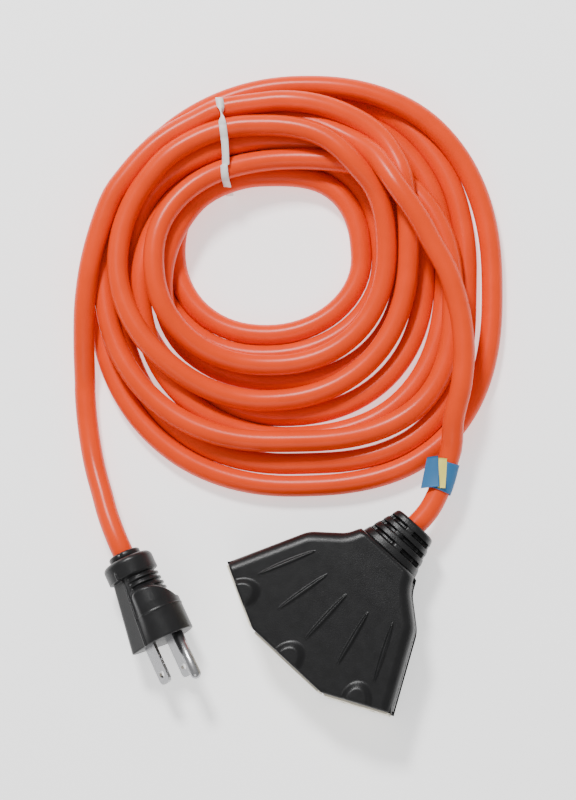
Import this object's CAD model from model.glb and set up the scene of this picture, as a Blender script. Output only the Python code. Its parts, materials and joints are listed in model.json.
"""Looks for the three outlet extension cord: its coil, block, plug, label and tie. Metres."""
import json
import math

import bpy
import numpy as np
from mathutils import Matrix, Vector


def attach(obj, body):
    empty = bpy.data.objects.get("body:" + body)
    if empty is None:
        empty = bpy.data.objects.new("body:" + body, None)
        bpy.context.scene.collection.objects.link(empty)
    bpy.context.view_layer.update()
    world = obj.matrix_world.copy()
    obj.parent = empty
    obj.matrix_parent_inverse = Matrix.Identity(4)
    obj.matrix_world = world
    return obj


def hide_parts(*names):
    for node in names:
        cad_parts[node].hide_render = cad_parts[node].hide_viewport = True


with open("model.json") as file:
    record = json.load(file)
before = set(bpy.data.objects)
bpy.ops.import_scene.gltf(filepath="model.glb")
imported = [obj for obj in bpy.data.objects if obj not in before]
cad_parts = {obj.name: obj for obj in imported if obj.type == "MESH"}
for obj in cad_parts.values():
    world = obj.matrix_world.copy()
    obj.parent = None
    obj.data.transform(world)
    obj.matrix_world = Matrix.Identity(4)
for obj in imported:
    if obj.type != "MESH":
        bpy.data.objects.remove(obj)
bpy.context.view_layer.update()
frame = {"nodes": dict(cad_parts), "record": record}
nodes = frame["nodes"]
MM = 0.001

# ---- Camera ----
IMAGE_TURN = math.radians(43)
RIGHT = Vector((0.7279, 0.6788, -0.0970)).normalized()
UP = Vector((-0.6609, 0.7322, 0.1644))
BACK = RIGHT.cross(UP).normalized()
UP = BACK.cross(RIGHT)
AIM = Vector((-0.0797, 0.0435, 0.0))
DISTANCE = 1.150
camera_data = bpy.data.cameras.new("camera")
camera_data.sensor_fit = "VERTICAL"
camera_data.sensor_height = 36
camera_data.lens = 119
camera = bpy.data.objects.new("camera", camera_data)
bpy.context.scene.collection.objects.link(camera)
turn = Matrix((RIGHT, UP, BACK)).transposed()
camera.matrix_world = Matrix.Translation(AIM + BACK * DISTANCE) @ turn.to_4x4()
bpy.context.scene.camera = camera


# ---- Small helpers ----
def smooth_curve(points, step):
    """Catmull-Rom curve through the points, in even steps."""
    p = np.array(points, float)
    p = np.vstack([2 * p[0] - p[1], p, 2 * p[-1] - p[-2]])
    out = []
    for a, b, c, d in zip(p[:-3], p[1:-2], p[2:-1], p[3:]):
        for t in np.linspace(0, 1, 24, endpoint=False):
            out.append(0.5 * (2 * b + (c - a) * t + (2 * a - 5 * b + 4 * c - d) * t**2
                              + (3 * b - a - 3 * c + d) * t**3))
    out.append(p[-2])
    return even_steps(np.array(out), step)


def even_steps(p, step):
    """The same line with its points at even distances."""
    length = np.concatenate([[0], np.cumsum(np.linalg.norm(np.diff(p, axis=0), axis=1))])
    count = max(int(round(length[-1] / step)), 1)
    at = np.linspace(0, length[-1], count + 1)
    return np.stack([np.interp(at, length, p[:, k]) for k in range(3)], 1)


def new_object(name, verts, faces, smooth=True):
    """A mesh object, in metres, in the scene."""
    mesh = bpy.data.meshes.new(name)
    mesh.from_pydata([tuple(v) for v in verts], [], [tuple(f) for f in faces])
    mesh.validate()
    mesh.update()
    mesh.polygons.foreach_set("use_smooth", [smooth] * len(mesh.polygons))
    obj = bpy.data.objects.new(name, mesh)
    bpy.context.scene.collection.objects.link(obj)
    return obj


def frames_along(path):
    """Side and up vectors along a path that stays mostly level."""
    t = np.gradient(path, axis=0)
    t /= np.linalg.norm(t, axis=1)[:, None]
    side = np.cross(t, [0, 0, 1])
    side /= np.linalg.norm(side, axis=1)[:, None]
    return side, np.cross(side, t)


def grid_faces(rows, columns, closed):
    """Quads over a grid of points, joined round each row if closed."""
    faces = []
    last = columns if closed else columns - 1
    for i in range(rows - 1):
        for k in range(last):
            k2 = (k + 1) % columns
            faces.append((i * columns + k, (i + 1) * columns + k,
                          (i + 1) * columns + k2, i * columns + k2))
    return faces


def tube(name, path, radius, sides=24):
    """A round closed tube along a path."""
    side, up = frames_along(path)
    angle = np.linspace(0, 2 * math.pi, sides, endpoint=False)
    ring = side[:, None] * np.cos(angle)[None, :, None] + up[:, None] * np.sin(angle)[None, :, None]
    verts = (path[:, None] + radius * ring).reshape(-1, 3)
    faces = grid_faces(len(path), sides, True)
    faces.append(tuple(range(sides)))
    faces.append(tuple(range(len(verts) - 1, len(verts) - sides - 1, -1)))
    return new_object(name, verts, faces)


# ---- Cord ----
CORD_D = 0.0092
CORD_R = CORD_D / 2
LEVEL = 0.0079
HOLE = (-0.128, 0.085)
STEP = 0.004
ARC_POINTS = 16
# Lengths at the block's and the plug's end that stay put, and over which they come loose
HELD_BLOCK, LOOSEN_BLOCK = 0.035, 0.03
HELD_PLUG, LOOSEN_PLUG = 0.10, 0.04

# The lead from the block's strain relief to the rim of the coil. Near the label it runs
# higher than the CAD's lead
LEAD_BLOCK = [(0, 36, 14), (0, 40, 14), (0, 47, 14), (-1.5, 54, 13.8), (-4.2, 61, 13.8),
              (-7.8, 68, 14.4), (-11.3, 75, 15.8)]
# Plug: its face, its turn about the upright, its roll and the height of its axis
PLUG_FACE = (-46, -70)
PLUG_TURN = math.radians(-112)
PLUG_ROLL = math.radians(46)
PLUG_LEN = 40
PLUG_AXIS_Z = 13.228
CORD_RISE = 1.5
LEAD_PLUG = [(-149, -12, 4.6), (-145, -16, 4.6), (-137, -23, 4.6), (-128, -30, 5),
             (-119, -36, 6.5), (-110, -41, 9), (-101, -46, 12)]

# Each turn from the block's end: how far east, north, west and south of the hole's
# centre it passes, in millimetres, and its level in the pile there
TURNS = [
    ((71.6, 2), (59.5, 1), (52, 0), (44.5, 0)),
    ((49.8, 0), (45, 0), (43, 0), (35.5, 0)),
    ((41, 0), (36.5, 0), (47, 1), (56, 0)),
    ((58.5, 0), (50, 1), (61, 0), (71.5, 0)),
    ((67, 0), (54.5, 0), (56.5, 1), (80.7, 0)),
    ((75.8, 0), (64, 0), (66, 1), (92, 0)),
    ((84.5, 0), (71.5, 0), (75.5, 0), (101.7, 0)),
    ((96.2, 0), (73.5, 1), (73, 1), (83, 1)),
    ((79.5, 1), (41, 1), (49, 2), (50, 1)),
    ((51.5, 1), (54, 2), (65, 2), (65.7, 1)),
    ((60.5, 1), (64, 2)),
]
# How square the corners of turns of each size are, by quarter from north east; 1 is an ellipse
FULLNESS = [
    ((38, 0.63), (48, 0.73), (61, 0.83), (72, 0.98), (84, 0.86)),
    ((38, 0.86), (55, 1.0)),
    ((38, 0.93), (52, 0.89), (64, 1.06), (71, 1.0), (79, 0.90), (88, 0.94)),
    ((44, 1.0), (51, 0.90), (63, 0.89), (78, 0.86), (81, 0.72), (87, 0.64), (99, 0.78)),
]
# Where the two leads pass over the rim, in the coil's own frame: x, y, level
OVER_RIM = [(79.5, -76, 1.9), (83, -62, 2.2), (84.4, -48, 2.3), (83.2, -32, 2.3),
            (78.5, -14, 2.3), (71.6, 0, 2.2), (66.4, 10.4, 2.1), (60.6, 20, 1.9),
            (51, 33.5, 1.6), (38, 45, 1.3), (22, 54.5, 1.1)]
OFF_RIM = [(-19, 61.7, 2.1), (-31, 56.3, 2.1), (-48, 45.4, 2.2), (-60, 33, 2.2), (-68, 22, 2.2),
           (-75, 2, 2.1), (-79.5, -19, 1.7), (-81, -37, 1.0)]


def coil_point(x, y, level):
    """A point of the coil's own frame, in millimetres, in the part's frame."""
    c, s = math.cos(IMAGE_TURN), math.sin(IMAGE_TURN)
    return (HOLE[0] + (c * x - s * y) * MM, HOLE[1] + (s * x + c * y) * MM,
            CORD_R + level * LEVEL)


def quarter_points():
    """Extreme points of each turn: its east, north, west and south in order."""
    reach = [q for t in TURNS for q in t]
    sign = [(1, 0), (0, 1), (-1, 0), (0, -1)]
    spots = []
    for i, (far, level) in enumerate(reach):
        sx, sy = sign[i % 4]
        before = reach[i - 1][0] if i else None
        after = reach[i + 1][0] if i + 1 < len(reach) else None
        before = after if before is None else before
        after = before if after is None else after
        # the sideways shift that puts this extreme midway between its neighbours
        shift = (after - before) / 2 * {0: 1, 1: -1, 2: -1, 3: 1}[i % 4]
        spots.append((sx * far + (0 if sx else shift), sy * far + (0 if sy else shift), level, i % 4))
    return spots


def coil_turns():
    """The turns' points: four quarter arcs each, changing level smoothly."""
    points = []
    spots = quarter_points()[1:]
    for a, b in zip(spots, spots[1:]):
        quarter = a[3]
        size = (math.hypot(a[0], a[1]) + math.hypot(b[0], b[1])) / 2
        full = float(np.interp(size, *zip(*FULLNESS[quarter])))
        for t in np.linspace(0, math.pi / 2, ARC_POINTS, endpoint=False):
            mix = (1 - math.cos(2 * t)) / 2
            level = a[2] + (b[2] - a[2]) * mix
            c, s = math.cos(t)**full, math.sin(t)**full
            if quarter % 2 == 0:
                x = b[0] + (a[0] - b[0]) * c
                y = a[1] + (b[1] - a[1]) * s
            else:
                x = a[0] + (b[0] - a[0]) * s
                y = b[1] + (a[1] - b[1]) * c
            points.append(coil_point(x, y, level))
    return points + [coil_point(*spots[-1][:3])]


def plug_point(back):
    """A point on the cord's line through the plug, back from the plug's face."""
    lift = CORD_RISE * math.sin(PLUG_ROLL)
    return (PLUG_FACE[0] - lift * math.cos(PLUG_TURN) + back * math.sin(PLUG_TURN),
            PLUG_FACE[1] - lift * math.sin(PLUG_TURN) - back * math.cos(PLUG_TURN),
            PLUG_AXIS_Z + CORD_RISE * math.cos(PLUG_ROLL))


# Settling: how often it moves the cord, how long and how fast the cord falls, and how
# firmly the turns keep to their places in plan
ROUNDS = 420
FALL_ROUNDS = 330
FALL = 0.00012
KEEP_PLACE = 0.965
PAIR_ROUNDS = 6
SMOOTHINGS = 3
BATCH = 256
NEIGHBOURS = 8
OFF_FLOOR = 0.00005


def near_pairs(p, reach):
    """Pairs of points within reach that aren't neighbours along the cord."""
    near = []
    for i in range(0, len(p), BATCH):
        gap = np.linalg.norm(p[i:i + BATCH, None] - p[None], axis=2)
        a, b = np.nonzero(gap < reach)
        a = a + i
        keep = b - a > NEIGHBOURS
        near.append(np.stack([a[keep], b[keep]]))
    return np.hstack(near)


def push_apart(p, pairs, gap, share):
    """Moves points that are closer than gap a share of the way apart."""
    a, b = pairs
    d = p[a] - p[b]
    length = np.linalg.norm(d, axis=1)
    close = length < gap
    a, b, d, length = a[close], b[close], d[close], length[close]
    push = d / length[:, None] * ((gap - length) * share)[:, None]
    count = np.bincount(a, minlength=len(p)) + np.bincount(b, minlength=len(p))
    count = np.maximum(count, 1) ** 0.5
    for k in range(3):
        move = np.bincount(a, push[:, k], len(p)) - np.bincount(b, push[:, k], len(p))
        p[:, k] += move / count


def settle(path, loose):
    """Lets the turns fall onto the floor and each other, a diameter apart."""
    start = path.copy()
    p = path.copy()
    weight = loose[:, None]
    for k in range(ROUNDS):
        if k % PAIR_ROUNDS == 0:
            pairs = near_pairs(p, CORD_D * 1.5)
        if k < FALL_ROUNDS:
            p[:, 2] -= FALL * loose
        push_apart(p, pairs, CORD_D, 0.5)
        shift = p - start
        for _ in range(SMOOTHINGS):
            shift[1:-1] += 0.5 * (0.5 * (shift[:-2] + shift[2:]) - shift[1:-1])
        shift[:, :2] *= KEEP_PLACE
        p = start + shift * weight
        push_apart(p, pairs, CORD_D, 0.5)
        p[:, 2] = np.maximum(p[:, 2], CORD_R + OFF_FLOOR)
    return p


lead_in = [tuple(c * MM for c in q) for q in LEAD_BLOCK]
lead_out = [tuple(c * MM for c in q) for q in LEAD_PLUG]
lead_out += [tuple(c * MM for c in plug_point(b)) for b in (PLUG_LEN + 8, PLUG_LEN, PLUG_LEN - 6)]
route = lead_in + [coil_point(*q) for q in OVER_RIM] + coil_turns()
route += [coil_point(*q) for q in OFF_RIM] + lead_out
cord_path = smooth_curve(route, STEP)
# The leads stay where the block and the plug hold them
from_start = np.arange(len(cord_path)) * STEP
to_end = from_start[::-1]
free = np.clip((from_start - HELD_BLOCK) / LOOSEN_BLOCK, 0, 1)
free = free * np.clip((to_end - HELD_PLUG) / LOOSEN_PLUG, 0, 1)
cord_path = settle(cord_path, free)


# ---- Materials ----
def material(name, colour, rough, bump=0.1, scale=400, vary=0.06, metallic=0.0, coat=0.0,
             spec=0.5):
    """Plastic or metal with cloudy colour and gloss, and a fine grain."""
    mat = bpy.data.materials.new(name)
    mat.use_nodes = True
    tree = mat.node_tree
    shader = tree.nodes["Principled BSDF"]
    place = tree.nodes.new("ShaderNodeTexCoord")
    cloud = tree.nodes.new("ShaderNodeTexNoise")
    cloud.inputs["Scale"].default_value = scale / 12
    cloud.inputs["Detail"].default_value = 5
    tree.links.new(place.outputs["Object"], cloud.inputs["Vector"])
    ramp = tree.nodes.new("ShaderNodeValToRGB")
    dark = [c * (1 - vary) for c in colour]
    light = [min(c * (1 + vary), 1) for c in colour]
    ramp.color_ramp.elements[0].position = 0.3
    ramp.color_ramp.elements[1].position = 0.7
    ramp.color_ramp.elements[0].color = (*dark, 1)
    ramp.color_ramp.elements[1].color = (*light, 1)
    tree.links.new(cloud.outputs["Fac"], ramp.inputs["Fac"])
    tree.links.new(ramp.outputs["Color"], shader.inputs["Base Color"])
    spread = tree.nodes.new("ShaderNodeMapRange")
    spread.inputs["To Min"].default_value = rough * 0.85
    spread.inputs["To Max"].default_value = min(rough * 1.2, 1)
    tree.links.new(cloud.outputs["Fac"], spread.inputs["Value"])
    tree.links.new(spread.outputs["Result"], shader.inputs["Roughness"])
    grain = tree.nodes.new("ShaderNodeTexNoise")
    grain.inputs["Scale"].default_value = scale
    grain.inputs["Detail"].default_value = 3
    tree.links.new(place.outputs["Object"], grain.inputs["Vector"])
    bumps = tree.nodes.new("ShaderNodeBump")
    bumps.inputs["Strength"].default_value = bump
    bumps.inputs["Distance"].default_value = 0.0003
    tree.links.new(grain.outputs["Fac"], bumps.inputs["Height"])
    tree.links.new(bumps.outputs["Normal"], shader.inputs["Normal"])
    shader.inputs["Metallic"].default_value = metallic
    shader.inputs["Coat Weight"].default_value = coat
    shader.inputs["Specular IOR Level"].default_value = spec
    return mat


MATERIALS = {
    "cord_orange": material("cord_orange", (0.78, 0.052, 0.002), 0.30, 0.08, 900, 0.05, spec=0.2),
    "block_pvc": material("block_pvc", (0.007, 0.007, 0.0074), 0.34, 0.25, 2600, 0.15, spec=0.3),
    "plug_pvc": material("plug_pvc", (0.010, 0.010, 0.0105), 0.32, 0.25, 2600, 0.15, spec=0.32),
    "ivory_plastic": material("ivory_plastic", (0.80, 0.74, 0.60), 0.4, 0.08, 1200),
    "core_plastic": material("core_plastic", (0.68, 0.63, 0.50), 0.5, 0.1, 1200),
    "copper": material("copper", (0.80, 0.38, 0.22), 0.3, 0.1, 1500, metallic=1),
    "brass": material("brass", (0.75, 0.55, 0.25), 0.3, 0.1, 1500, metallic=1),
    "tinned": material("tinned", (0.62, 0.63, 0.65), 0.35, 0.1, 1500, metallic=1),
    "wire_black": material("wire_black", (0.02, 0.02, 0.02), 0.5, 0.1, 1500),
    "wire_white": material("wire_white", (0.80, 0.80, 0.78), 0.5, 0.1, 1500),
    "wire_green": material("wire_green", (0.03, 0.30, 0.08), 0.5, 0.1, 1500),
    "tie_white": material("tie_white", (0.80, 0.79, 0.76), 0.5, 0.1, 1200),
    "label_blue": material("label_blue", (0.02, 0.13, 0.30), 0.6, 0.15, 2000),
    "label_yellow": material("label_yellow", (0.78, 0.69, 0.13), 0.6, 0.15, 2000),
    "nickel": material("nickel", (0.40, 0.40, 0.41), 0.27, 0.12, 1800, 0.05, metallic=1),
}
for name, obj in nodes.items():
    slot = obj.material_slots[0].material.name.split(".")[0] if obj.material_slots else ""
    for entry in frame["record"]["materials"]:
        if name in (entry.get("nodes") or []):
            slot = entry["slot"]
    if slot in MATERIALS:
        for s in obj.material_slots:
            s.material = MATERIALS[slot]

cord = tube("cord", cord_path, CORD_R)
cord.data.materials.append(MATERIALS["cord_orange"])
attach(cord, "root")
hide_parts("cord_lead_block", "cord_coil", "cord_lead_plug")

# ---- Outlet block ----
FRONT_Y = -39.2
JACKET_Y = 23.0
BLOCK_H = 28.0
FACE_W = 39.0
BLOCK_W = 94.0
FACE_TURN = math.radians(26)
SIDE_W = (BLOCK_W - FACE_W) / 2 / math.cos(FACE_TURN)
SIDE_Y = FRONT_Y + SIDE_W * math.sin(FACE_TURN)
EDGE_R = 5.0
# Side of the jacket from its front corner to its neck: x, y and corner radius
SIDE_LINE = [(47, SIDE_Y, 1), (30.5, 7, 14), (18, 17.5, 14), (15.2, JACKET_Y, 1)]
RIBS = [(0, -27, 0), (17, -26, 12), (-17, -26, -12), (33, -20.5, 25), (-33, -20.5, -25)]
RIB_LEN = 25.0
RIB_HALF = 1.25
RIB_HIGH = 0.85
# Bulge over each ground contact: half width, length and height
BULGE_HALF = 6.2
BULGE_LEN = 8.6
BULGE_HIGH = 1.75
# The overmould's wall round the inserts, how far back the inserts stand, and grid points
WALL = 2.5
RECESS = 4
PLAN_GRID = 150


def rounded_line(corners):
    """Points along a broken line whose inner corners are rounded."""
    pts = [np.array(corners[0][:2], float)]
    for a, b, c in zip(corners, corners[1:], corners[2:]):
        a, r, b, c = np.array(a[:2], float), b[2], np.array(b[:2], float), np.array(c[:2], float)
        u, v = (a - b) / np.linalg.norm(a - b), (c - b) / np.linalg.norm(c - b)
        half = math.acos(float(u @ v)) / 2
        centre = b + (u + v) / np.linalg.norm(u + v) * r / math.sin(half)
        p, q = b + u * r / math.tan(half) - centre, b + v * r / math.tan(half) - centre
        for t in np.linspace(0, 1, 17):
            w = p * (1 - t) + q * t
            pts.append(centre + w / np.linalg.norm(w) * r)
    pts.append(np.array(corners[-1][:2], float))
    return np.array(pts)


def along(line, t):
    """Points at shares t of a line's length."""
    length = np.concatenate([[0], np.cumsum(np.linalg.norm(np.diff(line, axis=0), axis=1))])
    return np.stack([np.interp(t * length[-1], length, line[:, k]) for k in range(line.shape[1])], 1)


def drop(distance, radius):
    """How far a rounded edge falls at a distance in from its side."""
    d = np.clip(distance, 0, radius)
    return radius - np.sqrt(radius**2 - (radius - d)**2)


def line_distance(points, line):
    """Each point's distance from a broken line."""
    best = np.full(len(points), 1e9)
    for a, b in zip(line[:-1], line[1:]):
        ab = b - a
        t = np.clip(((points - a) @ ab) / (ab @ ab), 0, 1)
        best = np.minimum(best, np.linalg.norm(points - (a + t[:, None] * ab), axis=1))
    return best


def smooth_step(x, low, high):
    """0 below low, 1 above high and smooth between."""
    t = np.clip((x - low) / (high - low), 0, 1)
    return t * t * (3 - 2 * t)


def block_plan(nu, ns):
    """Plan positions of the block's surface: across from side to side, and front to neck."""
    v = np.linspace(-1, 1, 2 * nu + 1)
    u = np.sign(v) * (1 - (1 - np.abs(v))**1.35)
    w = np.linspace(0, 1, ns)
    s = w - 0.3 * np.sin(2 * math.pi * w) / (2 * math.pi)
    side = along(rounded_line(SIDE_LINE), s)
    front = np.array([(0, FRONT_Y), (FACE_W / 2, FRONT_Y), (BLOCK_W / 2, SIDE_Y)], float)
    edge = along(front, np.abs(u))
    middle = np.stack([np.zeros(ns), FRONT_Y + (JACKET_Y - FRONT_Y) * s], 1)
    a = np.abs(u)[None, :, None]
    plan = middle[:, None] * (1 - a) + side[:, None] * a
    lift = edge - (middle[0] * (1 - a[0]) + side[0] * a[0])
    plan = plan + (1 - s)[:, None, None] * lift[None]
    plan[..., 0] *= np.where(u < 0, -1, 1)[None]
    return plan


def block_top(plan):
    """Heights of the block's upper surface over its plan."""
    flat = np.abs(plan.reshape(-1, 2) * [1, 0]) + plan.reshape(-1, 2) * [0, 1]
    to_side = line_distance(flat, rounded_line(SIDE_LINE))
    front = np.array([(0, FRONT_Y), (FACE_W / 2, FRONT_Y), (BLOCK_W / 2, SIDE_Y)], float)
    to_front = line_distance(flat, front)
    z = BLOCK_H - drop(to_side, EDGE_R) - drop(to_front, 1.0) - drop(JACKET_Y - flat[:, 1], 2.2)
    z -= 0.5 * smooth_step(flat[:, 1], 2, 20)
    x, y = plan.reshape(-1, 2).T
    extra = np.zeros(len(x))
    for rx, ry, angle in RIBS:
        c, s = math.cos(math.radians(angle)), math.sin(math.radians(angle))
        across = (x - rx) * c + (y - ry) * s
        forward = -(x - rx) * s + (y - ry) * c
        share = np.clip(forward / RIB_LEN, 0, 1)
        half = RIB_HALF * np.sin(math.pi * np.clip(share, 0.001, 0.999))**0.45
        inside = np.clip(1 - np.abs(across) / half, 0, 1) * (forward > 0) * (forward < RIB_LEN)
        extra += RIB_HIGH * smooth_step(inside, 0, 0.85)
    for side in (-1, 0, 1):
        turn = side * FACE_TURN
        fx = side * (FACE_W / 2 + SIDE_W / 2 * math.cos(FACE_TURN))
        fy = FRONT_Y + abs(side) * SIDE_W / 2 * math.sin(FACE_TURN)
        across = (x - fx) * math.cos(turn) + (y - fy) * math.sin(turn)
        forward = -(x - fx) * math.sin(turn) + (y - fy) * math.cos(turn)
        far = np.sqrt((across / BULGE_HALF)**2 + (np.maximum(forward, 0) / BULGE_LEN)**2)
        extra += BULGE_HIGH * (1 - smooth_step(far, 0.62, 1.12))
    return (z + extra).reshape(plan.shape[:2])


def block_shell():
    """The overmould: top and bottom surfaces, their edge, and a frame round the inserts."""
    plan = block_plan(PLAN_GRID, PLAN_GRID)
    rows, columns = plan.shape[:2]
    top = block_top(plan)
    flat = plan.reshape(-1, 2)
    mirrored = np.abs(flat * [1, 0]) + flat * [0, 1]
    to_side = line_distance(mirrored, rounded_line(SIDE_LINE))
    base = drop(to_side, EDGE_R).reshape(rows, columns) + 0.02
    count = rows * columns
    verts = [np.concatenate([plan, top[..., None]], 2).reshape(-1, 3),
             np.concatenate([plan, base[..., None]], 2).reshape(-1, 3)]
    upper = grid_faces(rows, columns, False)
    faces = [f[::-1] for f in upper] + [tuple(i + count for i in f) for f in upper]
    # side walls between the two surfaces
    for column, flip in ((0, False), (columns - 1, True)):
        for i in range(rows - 1):
            a, b = i * columns + column, (i + 1) * columns + column
            quad = (a, b, b + count, a + count)
            faces.append(quad[::-1] if not flip else quad)
    last = (rows - 1) * columns
    for k in range(columns - 1):
        faces.append((last + k, last + k + 1, last + k + 1 + count, last + k + count))
    # front: the wall above and below the inserts, with its recess
    start = 2 * count
    frame_verts, frame_faces = [], []
    for k in range(columns - 1):
        for q in (k, k + 1):
            x, y = plan[0, q]
            inward = np.array([-x, 30 - y])
            inward = inward / np.linalg.norm(inward) * RECESS
            for z in (BLOCK_H - WALL, WALL):
                frame_verts.append((x, y, z))
                frame_verts.append((x + inward[0], y + inward[1], z))
        n = start + len(frame_verts) - 8
        a, b = k, k + 1
        frame_faces += [(a, n, n + 4, b), (n, n + 1, n + 5, n + 4),
                        (n + 3, n + 2, n + 6, n + 7), (n + 2, a + count, b + count, n + 6)]
    verts.append(np.array(frame_verts))
    faces += frame_faces
    return new_object("block_shell", np.vstack(verts) * MM, faces)


shell = block_shell()
shell.data.materials.append(MATERIALS["block_pvc"])
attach(shell, "root")
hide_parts("block_jacket")


def superellipse(count, power):
    """Angles, and a unit outline between an ellipse and a rectangle."""
    angle = np.linspace(0, 2 * math.pi, count, endpoint=False)
    c, s = np.cos(angle), np.sin(angle)
    return angle, np.sign(c) * np.abs(c)**power, np.sign(s) * np.abs(s)**power


# Strain relief: rings along the sleeve, each groove bridged by short webs
RELIEF_RINGS = [(0.0, 3.4), (5.2, 7.8), (9.6, 12.0), (13.8, 17.0)]
RELIEF_LEN = 17.0
RELIEF_SIDES = 160
CORD_HOLE_R = 4.62
CORD_Z = 14


def strain_relief():
    """The block's ribbed sleeve."""
    angle, cx, cz = superellipse(RELIEF_SIDES, 0.78)
    ys = np.linspace(0, RELIEF_LEN, 120)
    verts = []
    for y in ys:
        share = y / RELIEF_LEN
        w, h = 14.9 - 5.3 * share, 11.4 - 3.5 * share
        depth = np.zeros(len(angle))
        for n, (a, b) in enumerate(zip(RELIEF_RINGS[:-1], RELIEF_RINGS[1:])):
            groove = smooth_step(y, a[1] - 0.3, a[1] + 0.35)
            groove = groove * (1 - smooth_step(y, b[0] - 0.35, b[0] + 0.3))
            shift = (-0.10, 0.12, -0.04)[n]
            web = np.abs(np.sin(angle - math.pi / 2 - shift))
            side = np.abs(np.cos(angle))
            open_part = smooth_step(web, 0.10, 0.16) * (1 - smooth_step(side, 0.93, 0.97))
            depth += groove * (0.35 + 2.1 * open_part)
        end = drop(np.array([y]), 0.9)[0] * 0.6 + drop(np.array([RELIEF_LEN - y]), 1.2)[0]
        depth = depth + end
        verts.append(np.stack([cx * (w - depth), np.full(len(cx), JACKET_Y + y),
                               CORD_Z + cz * (h - depth)], 1))
    # the end face, turned in to the cord
    for r, back in ((6.2, 0.0), (CORD_HOLE_R, 0.0), (CORD_HOLE_R, 3.0)):
        verts.append(np.stack([np.cos(angle) * r, np.full(len(cx), JACKET_Y + RELIEF_LEN - back),
                               CORD_Z + np.sin(angle) * r], 1))
    faces = [f[::-1] for f in grid_faces(len(verts), RELIEF_SIDES, True)]
    obj = new_object("strain_relief", np.vstack(verts) * MM, faces)
    obj.data.materials.append(MATERIALS["block_pvc"])
    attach(obj, "root")
    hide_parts("block_strain_relief")


strain_relief()

# ---- Plug ----
PLUG_W = 24.0
PLUG_LOW = 9.0
PLUG_HIGH = 4.5
PLUG_CORNER = 4.0
# Distances back from the plug's face: the drum's start, and the body's end
DRUM_FROM = 29.8
PLUG_END = 38.6
DRUM_R = 10.9
GRIP_PITCH = 2.35


def plug_matrix():
    """Places a shape made in the plug's frame, with +Y towards the prongs."""
    place = Matrix.Translation((PLUG_FACE[0] * MM, PLUG_FACE[1] * MM, PLUG_AXIS_Z * MM))
    return place @ Matrix.Rotation(PLUG_TURN, 4, "Z") @ Matrix.Rotation(-PLUG_ROLL, 4, "Y")


def tombstone_radius(angle):
    """Radius of the plug's section about the cord's line."""
    arc = np.linspace(0, math.pi, 200)
    half = PLUG_W / 2
    pts = [(half * math.cos(a), PLUG_HIGH + half * math.sin(a)) for a in arc]
    inner = half - PLUG_CORNER
    pts += [(-half, y) for y in np.linspace(PLUG_HIGH, PLUG_CORNER - PLUG_LOW, 40)]
    pts += [(-inner + PLUG_CORNER * math.cos(a), PLUG_CORNER - PLUG_LOW + PLUG_CORNER * math.sin(a))
            for a in np.linspace(math.pi, 1.5 * math.pi, 40)]
    pts += [(x, -PLUG_LOW) for x in np.linspace(-inner, inner, 60)]
    pts += [(inner + PLUG_CORNER * math.cos(a), PLUG_CORNER - PLUG_LOW + PLUG_CORNER * math.sin(a))
            for a in np.linspace(1.5 * math.pi, 2 * math.pi, 40)]
    pts += [(half, y) for y in np.linspace(PLUG_CORNER - PLUG_LOW, PLUG_HIGH, 40)]
    pts = np.array(pts) - [0, CORD_RISE]
    a = np.arctan2(pts[:, 1], pts[:, 0]) % (2 * math.pi)
    order = np.argsort(a)
    return np.interp(angle, a[order], np.linalg.norm(pts, axis=1)[order], period=2 * math.pi)


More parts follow.
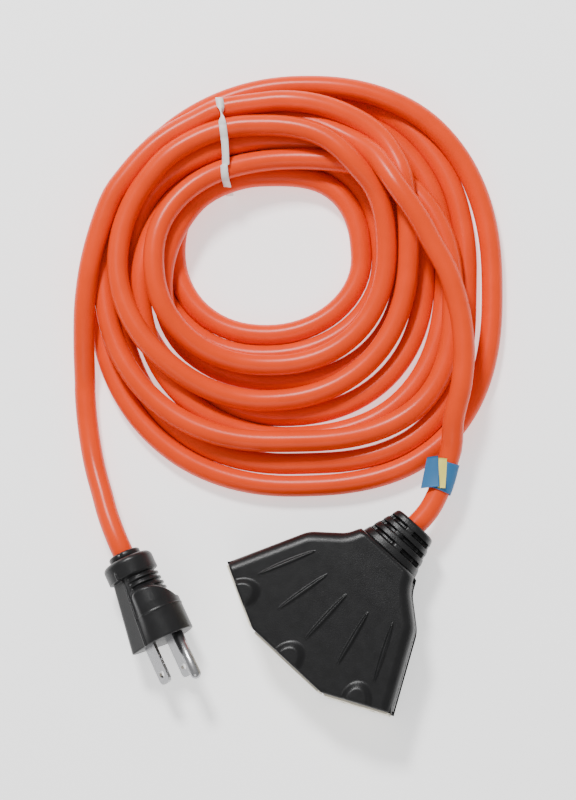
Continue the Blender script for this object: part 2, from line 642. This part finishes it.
def plug_surface():
    """The plug's overmould: head, ribbed neck and drum, as a radius round the cord's line."""
    sides = 240
    angle = np.linspace(0, 2 * math.pi, sides, endpoint=False)
    base = tombstone_radius(angle)
    degrees = np.degrees(angle)
    pin_side = smooth_step(np.sin(angle), 0.28, 0.62)
    backs = np.concatenate([np.linspace(0, 1, 8), np.linspace(1.2, PLUG_END, 210)])
    rows = []
    for back in backs:
        # flat side: an even taper from the face to the cord's end
        low = 1 - 0.0108 * min(back, 30)
        # pin side: a full head, an arched rear wall, then the recessed neck
        wall = 14.5 + 7.5 * np.clip(1 - ((degrees - 52) / 60)**2, 0, 1)
        head = 1 - smooth_step(back, wall, wall + 3.2) * (0.20 + 0.004 * max(back - 18, 0))
        neck_slope = 1 - 0.0035 * max(back - 16, 0) * (back > 16)
        k = low * (1 - pin_side) + head * neck_slope * pin_side
        drum = smooth_step(back, DRUM_FROM, DRUM_FROM + 1)
        radius = base * k
        round_end = DRUM_R - drop(np.array([PLUG_END - back]), 2.4)[0]
        round_end = round_end - drop(np.array([back - DRUM_FROM]), 1.0)[0]
        drum_radius = round_end + 0.25 * (base / 12 - 1) * 4
        radius = radius * (1 - drum) + np.maximum(drum_radius, 0) * drum
        # grip ribs across the recessed neck
        on_neck = smooth_step(np.sin(angle), 0.45, 0.6) * smooth_step(back, wall + 2.2, wall + 3.2)
        on_neck = on_neck * (1 - drum)
        ripple = 0.5 + 0.5 * math.cos(2 * math.pi * (back - 18.6) / GRIP_PITCH)
        radius = radius + on_neck * (smooth_step(np.array([ripple]), 0.25, 0.8)[0] * 1.1 - 0.9)
        # mould ridge along the side and a fine raised line across the head
        ridge = np.exp(-((degrees - 12) / 2.2)**2) * (1 - smooth_step(back, 33, 34.5))
        radius = radius + 0.65 * ridge
        line = math.exp(-((back - 12.0) / 0.35)**2) * smooth_step(np.sin(angle), 0.2, 0.3)
        radius = radius + 0.22 * line
        radius = radius - drop(np.array([back]), 0.7)[0]
        rows.append(np.stack([radius * np.cos(angle), np.full(sides, -back),
                              CORD_RISE + radius * np.sin(angle)], 1))
    for r in (7.2, CORD_HOLE_R):
        rows.append(np.stack([r * np.cos(angle), np.full(sides, -PLUG_END),
                              CORD_RISE + r * np.sin(angle)], 1))
    faces = grid_faces(len(rows), sides, True)
    faces.append(tuple(range(sides)))
    obj = new_object("plug_shell", np.vstack(rows) * MM, faces)
    obj.data.transform(plug_matrix())
    obj.data.materials.append(MATERIALS["plug_pvc"])
    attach(obj, "root")
    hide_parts("plug_body")
    return obj


plug = plug_surface()


def plug_ring():
    """Collar at the cord's end of the plug, with rounded edges and a small notch."""
    sides = 96
    angle = np.linspace(0, 2 * math.pi, sides, endpoint=False)
    rows = []
    for y, r in ((-38.4, 4.7), (-38.4, 6.6), (-38.8, 7.0), (-40.8, 7.0), (-41.4, 6.5), (-41.5, 5.4),
                 (-41.5, CORD_HOLE_R), (-39.5, CORD_HOLE_R)):
        notch = 0.5 * np.exp(-(((np.degrees(angle) - 35) / 5)**2)) * (r > 6)
        rows.append(np.stack([(r - notch) * np.cos(angle), np.full(sides, y),
                              CORD_RISE + (r - notch) * np.sin(angle)], 1))
    obj = new_object("plug_ring", np.vstack(rows) * MM, grid_faces(len(rows), sides, True))
    obj.data.transform(plug_matrix())
    obj.data.materials.append(MATERIALS["plug_pvc"])
    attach(obj, "root")
    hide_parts("plug_collar")
    return obj


ring = plug_ring()


# Ground pin: its radius beyond and inside the plug, its length and its height
PIN_R = 2.38
SHANK_R = 1.8
PIN_LEN = 21.4
PIN_Z = 11.9


def ground_prong():
    """Round ground pin with a domed end, stepped where it enters the plug."""
    sides = 48
    angle = np.linspace(0, 2 * math.pi, sides, endpoint=False)
    outline = [(-2, SHANK_R), (0, SHANK_R), (0, PIN_R), (PIN_LEN - PIN_R, PIN_R)]
    for t in np.radians([10, 20, 30, 40, 50, 60, 70, 80, 87]):
        outline.append((PIN_LEN - PIN_R * (1 - math.sin(t)), PIN_R * math.cos(t)))
    rows = [np.stack([r * np.cos(angle), np.full(sides, y), PIN_Z + r * np.sin(angle)], 1)
            for y, r in outline]
    count = sides * len(rows)
    faces = grid_faces(len(rows), sides, True)
    faces.append(tuple(range(sides)))
    faces.append(tuple(range(count - 1, count - sides - 1, -1)))
    obj = new_object("ground_prong", np.vstack(rows) * MM, faces)
    obj.data.transform(plug_matrix())
    obj.data.materials.append(MATERIALS["nickel"])
    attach(obj, "root")
    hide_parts("plug_ground_pin")
    return obj


prong = ground_prong()


# ---- Tie and label ----
def coil_frame(points):
    """Plan positions in the coil's own frame, in millimetres."""
    c, s = math.cos(IMAGE_TURN), math.sin(IMAGE_TURN)
    d = (points[:, :2] - np.array(HOLE)) / MM
    return np.stack([c * d[:, 0] + s * d[:, 1], -s * d[:, 0] + c * d[:, 1]], 1)


# Tie, in the coil's own frame: its line, width, ends, and the place and length of its twist
TIE_X = -19.0
TIE_W = 3.4
TIE_FROM, TIE_TO = 29.0, 66.0
TIE_TWIST = 57.5
TWIST_LEN = 9
# How far the tie's middle stands off the middle of a strand
TIE_CLEAR = 5.1
TIE_THICK = 0.0004


def strip_mesh(name, path, across, width, thickness):
    """A flat strip along a path; across gives its width direction at each point."""
    t = np.gradient(path, axis=0)
    t /= np.linalg.norm(t, axis=1)[:, None]
    across = across / np.linalg.norm(across, axis=1)[:, None]
    normal = np.cross(across, t)
    rows = []
    for sx, sz in ((-1, -1), (-0.9, 1), (0.9, 1), (1, -1)):
        rows.append(path + across * width / 2 * sx + normal * thickness / 2 * sz)
    verts = np.stack(rows, 1).reshape(-1, 3)
    faces = grid_faces(len(path), 4, True)
    faces += [(0, 1, 2, 3), tuple(range(len(verts) - 1, len(verts) - 5, -1))]
    return new_object(name, verts, faces)


def tie_path():
    """Places across the section of the coil, and the tie's height over the strands there."""
    plan = coil_frame(cord_path)
    near = np.abs(plan[:, 0] - TIE_X) < 3.0
    across, height = plan[near, 1], cord_path[near, 2] / MM
    ys = np.linspace(TIE_FROM, TIE_TO, 75)
    gap = np.clip(1 - ((ys[:, None] - across[None]) / TIE_CLEAR)**2, 0, 1)
    tops = np.where(gap > 0, height[None] + TIE_CLEAR * np.sqrt(gap), 0).max(1)
    # a taut strip bridges the hollows between the strands
    hull = []
    for point in zip(ys, tops):
        while len(hull) > 1:
            (x0, z0), (x1, z1) = hull[-2], hull[-1]
            if (z1 - z0) * (point[0] - x0) > (point[1] - z0) * (x1 - x0):
                break
            hull.pop()
        hull.append(point)
    hull = np.array(hull)
    z = np.interp(ys, hull[:, 0], hull[:, 1])
    return ys, 0.5 * z + 0.5 * np.maximum(tops, z - 1.2)


def tie_twist(ys):
    """How far the tie has turned over at each place, from 0 to 1."""
    return np.clip((ys - TIE_TWIST + TWIST_LEN / 2) / TWIST_LEN, 0, 1)


def tie_strip():
    """The flat tie over the strands, with half a turn in it, and its two ends going down."""
    ys, zs = tie_path()
    zs = zs + 1.5 * np.sin(math.pi * tie_twist(ys))
    sway = TIE_X + 1.2 * np.sin((ys - TIE_FROM) / 11) * (ys > 36) - 0.06 * (ys - 45)
    inner = [(TIE_X + 0.3, TIE_FROM - 0.6, z) for z in (1.0, 4.0, 8.0)]
    outer = [(sway[-1] - 0.3, TIE_TO + out, zs[-1] - down) for out, down in ((0.7, 3.0), (1.0, 7.0))]
    pts = inner + [(x, y, z) for x, y, z in zip(sway, ys, zs) if z > 9.5] + outer
    pts = np.array([coil_point(x, y, 0)[:2] + (z * MM,) for x, y, z in pts])
    path = smooth_curve(pts, 0.0006)
    ys = coil_frame(path)[:, 1]
    angle = math.pi * tie_twist(ys) + 0.25 * np.sin((ys - 30) / 6)
    sideways = np.array([math.cos(IMAGE_TURN), math.sin(IMAGE_TURN), 0.0])
    t = np.gradient(path, axis=0)
    t /= np.linalg.norm(t, axis=1)[:, None]
    normal = np.cross(sideways[None], t)
    across = sideways[None] * np.cos(angle)[:, None] + normal * np.sin(angle)[:, None]
    width = TIE_W * MM * (1 - 0.35 * np.exp(-((ys - TIE_TWIST) / 1.6)**2))
    return strip_mesh("tie_strip", path, across, width[:, None], TIE_THICK)


tie = tie_strip()
tie.data.materials.append(MATERIALS["tie_white"])
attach(tie, "root")
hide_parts("coil_tie")

LABEL_AT = (-4.4, 61.5, 13.8)


def label_sleeve():
    """The label's band: a paper sleeve round the lead, a little loose and not quite round."""
    near = np.argmin(np.linalg.norm(cord_path - np.array(LABEL_AT) * MM, axis=1))
    fine = even_steps(cord_path[near - 4:near + 5], 0.0005)
    middle = np.argmin(np.linalg.norm(fine - cord_path[near], axis=1))
    part = fine[middle - 13:middle + 14]
    side, up = frames_along(part)
    sides = 48
    angle = np.linspace(0, 2 * math.pi, sides, endpoint=False)
    rows = []
    for radius in (5.25, 5.05):
        wobble = radius + 0.16 * np.sin(3 * angle + 0.6) + 0.1 * np.sin(5 * angle)
        spoke = side[:, None] * np.cos(angle)[None, :, None]
        spoke = spoke + up[:, None] * np.sin(angle)[None, :, None]
        rows.append(part[:, None] + spoke * (wobble * MM)[None, :, None])
    outer, inner = rows
    verts = np.vstack([outer.reshape(-1, 3), inner[::-1].reshape(-1, 3)])
    count = 2 * len(part)
    faces = grid_faces(count, sides, True)
    last = (count - 1) * sides
    for k in range(sides):
        k2 = (k + 1) % sides
        faces.append((last + k, k, k2, last + k2))
    return new_object("label_sleeve", verts, faces)


sleeve = label_sleeve()
sleeve.data.materials.append(MATERIALS["label_blue"])
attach(sleeve, "root")
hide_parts("label_band")

# The label's loose end, folded back over the band: corners of its two leaves
FOLD_LEAF = [(-15.6, 64.2, 18.0), (-12.2, 67.6, 20.4), (-3.0, 58.4, 20.0), (-8.6, 52.6, 17.8)]
UNDER_LEAF = [(-12.4, 66.6, 19.9), (-8.7, 69.4, 19.6), (-0.8, 59.6, 19.2), (-3.2, 57.4, 19.5)]
PAPER_GRID = (15, 11)
PAPER_THICK = 0.25


def paper(name, corners, bow):
    """A slightly bowed sheet between four corners: two along its top, two along its foot."""
    a, b, c, d = [np.array(q, float) for q in corners]
    down, wide = PAPER_GRID
    rows = []
    for i in np.linspace(0, 1, down):
        left, right = a * (1 - i) + d * i, b * (1 - i) + c * i
        for k in np.linspace(0, 1, wide):
            q = left * (1 - k) + right * k
            rows.append(q + [0, 0, bow * math.sin(math.pi * k) + 0.25 * math.sin(5 * i + 2 * k)])
    rows = np.array(rows)
    verts = np.vstack([rows, rows - [0, 0, PAPER_THICK]]) * MM
    count = len(rows)
    upper = grid_faces(down, wide, False)
    faces = [tuple(reversed(f)) for f in upper] + [tuple(i + count for i in f) for f in upper]
    last = (down - 1) * wide
    rim = list(range(wide))
    rim += [i * wide + wide - 1 for i in range(1, down)]
    rim += [last + k for k in range(wide - 2, -1, -1)]
    rim += [i * wide for i in range(down - 2, 0, -1)]
    faces += [(p, q, q + count, p + count) for p, q in zip(rim, rim[1:] + rim[:1])]
    return new_object(name, verts, faces)


flag = paper("label_leaf", FOLD_LEAF, 0.6)
flag.data.materials.append(MATERIALS["label_blue"])
under = paper("label_reverse", UNDER_LEAF, 0.2)
under.data.materials.append(MATERIALS["label_yellow"])
for piece in (flag, under):
    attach(piece, "root")
    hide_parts("label_flag")

# ---- Floor, light ----
floor = new_object("floor", [(-6, -6, 0), (6, -6, 0), (6, 6, 0), (-6, 6, 0)], [(0, 1, 2, 3)], False)
floor_material = material("floor", (0.90, 0.90, 0.90), 0.7, 0.02, 300, 0.01)
floor_shader = floor_material.node_tree.nodes["Principled BSDF"]
floor_shader.inputs["Emission Color"].default_value = (1, 1, 1, 1)
floor_shader.inputs["Emission Strength"].default_value = 0.9
floor.data.materials.append(floor_material)
world = bpy.data.worlds.new("world")
world.use_nodes = True
world.node_tree.nodes["Background"].inputs["Color"].default_value = (1, 1, 1, 1)
world.node_tree.nodes["Background"].inputs["Strength"].default_value = 0.52
bpy.context.scene.world = world


def area_light(name, place, size, power):
    """A rectangular lamp that points at AIM."""
    data = bpy.data.lights.new(name, "AREA")
    data.shape = "RECTANGLE"
    data.size, data.size_y = size
    data.energy = power
    lamp = bpy.data.objects.new(name, data)
    lamp.location = place
    lamp.rotation_euler = (AIM - Vector(place)).to_track_quat("-Z", "Y").to_euler()
    bpy.context.scene.collection.objects.link(lamp)


# Image up is the row's (-0.68, 0.73), image right is (0.73, 0.68)
area_light("key", (-0.95, 0.55, 1.3), (0.3, 0.3), 34)
area_light("fill", (0.7, -0.9, 1.2), (1.0, 1.0), 6)
